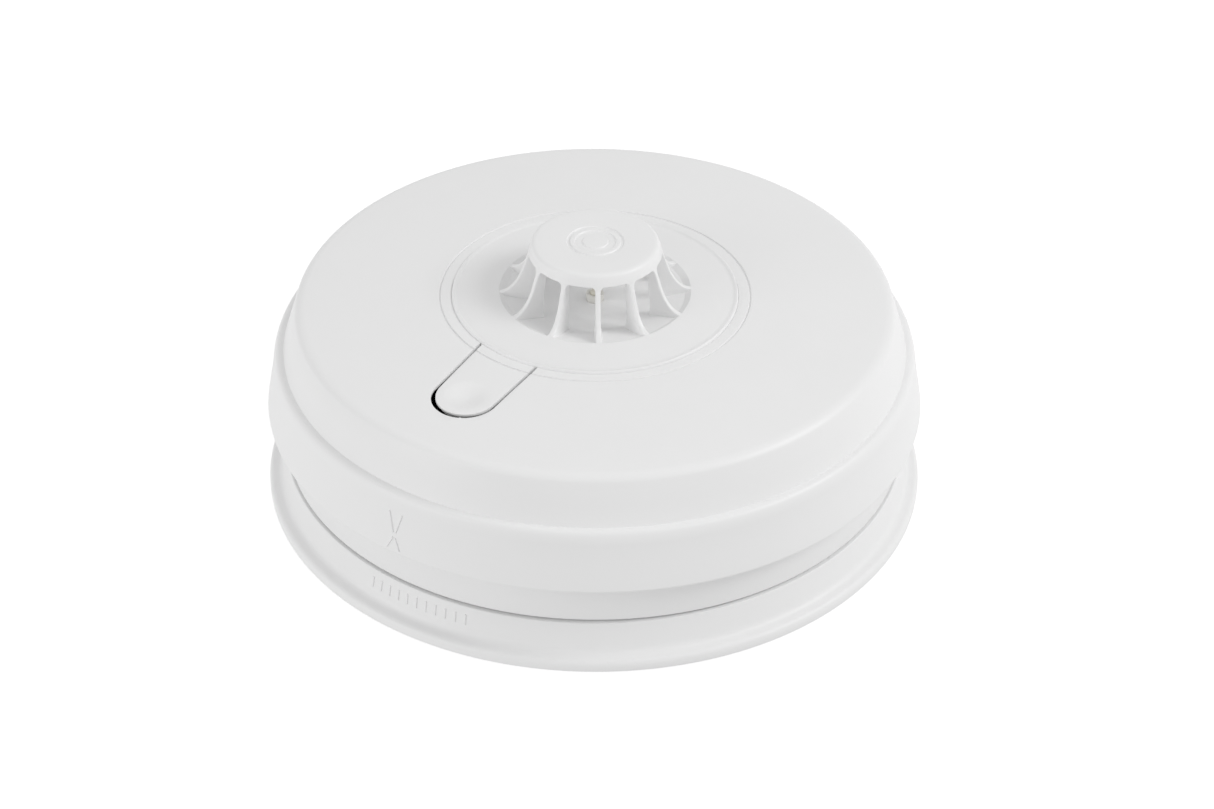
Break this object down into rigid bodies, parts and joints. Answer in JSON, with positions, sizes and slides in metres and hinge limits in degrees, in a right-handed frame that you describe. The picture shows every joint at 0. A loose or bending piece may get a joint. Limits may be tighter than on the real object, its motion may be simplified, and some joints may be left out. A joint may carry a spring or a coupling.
{
  "type": "heat alarm",
  "caption": "Round ceiling-mounted mains heat alarm with an open finned sensor cage, a tongue-shaped test button and a twist-off mounting base.",
  "frame": {"origin": "centre of the base's back face, where it meets the ceiling", "axes": "+Z away from the ceiling towards the sensor cage, -Y towards the test button"},
  "size_m": [0.141, 0.141, 0.0578],
  "materials": {
    "base_plastic": "white moulded plastic, fine satin texture",
    "chassis_plastic": "white moulded plastic, fine satin texture",
    "cover_plastic": "white moulded plastic, fine satin texture",
    "cage_plastic": "white moulded plastic, fine satin texture",
    "button_plastic": "white moulded plastic, fine satin texture",
    "holder_plastic": "white moulded plastic",
    "terminal_plastic": "off-white moulded plastic",
    "black_plastic": "black moulded plastic",
    "chip_plastic": "black epoxy",
    "plunger_plastic": "red plastic",
    "brass": "bright brass",
    "contact_metal": "tinned strip",
    "zinc_steel": "bright zinc plate",
    "board_laminate": "green solder mask",
    "bead_coating": "off-white dipped coating",
    "piezo_ceramic": "unglazed ceramic with silvered face",
    "cell_sleeve": "shrunk sleeve",
    "capacitor_case": "moulded case",
    "varistor_coating": "dipped coating",
    "green_lens": "tinted lens",
    "red_lens": "tinted lens"
  },
  "bodies": {
    "base": {"mounting_base": "base_plastic", "terminal_block": "terminal_plastic", "terminal_screw_live": "brass", "terminal_screw_interconnect": "brass", "terminal_screw_neutral": "brass", "contact_spring_live": "contact_metal", "contact_spring_interconnect": "contact_metal", "contact_spring_neutral": "contact_metal"},
    "head": {"chassis": "chassis_plastic", "cover": "cover_plastic", "sensor_cage": "cage_plastic", "circuit_board": "board_laminate", "thermistor": "bead_coating", "thermistor_holder": "holder_plastic", "sounder_housing": "black_plastic", "sounder_cap": "black_plastic", "piezo_plate": "brass", "piezo_ceramic": "piezo_ceramic", "backup_cell": "cell_sleeve", "cell_tab_positive": "contact_metal", "cell_tab_negative": "contact_metal", "mains_capacitor": "capacitor_case", "smoothing_capacitor": "black_plastic", "varistor": "varistor_coating", "microcontroller": "chip_plastic", "test_switch_body": "chip_plastic", "power_lamp": "green_lens", "alarm_lamp": "red_lens", "contact_blade_live": "contact_metal", "contact_blade_interconnect": "contact_metal", "contact_blade_neutral": "contact_metal", "cover_screw_1": "zinc_steel", "cover_screw_2": "zinc_steel", "cover_screw_3": "zinc_steel", "board_screw_1": "zinc_steel", "board_screw_2": "zinc_steel", "board_screw_3": "zinc_steel"},
    "button": {"test_button": "button_plastic"},
    "plunger": {"test_switch_plunger": "plunger_plastic"}
  },
  "joints": [
    {"name": "head_twist", "type": "hinge", "parent": "base", "child": "head", "pos_m": [0, 0, 0.0095], "axis": [0, 0, 1], "range_deg": [0, 18]},
    {"name": "test_button_press", "type": "hinge", "parent": "head", "child": "button", "pos_m": [-0.0028, -0.0315, 0.0436], "axis": [1, 0, 0], "range_deg": [0, 3], "stiffness_Nm_per_rad": 0.6},
    {"name": "test_switch_travel", "type": "slide", "parent": "head", "child": "plunger", "axis": [0, 0, -1], "range_m": [0, 0.0005]}
  ],
  "couplings": [
    {"joint": "test_switch_travel", "follows": "test_button_press", "m_per_rad": 0.0095}
  ]
}
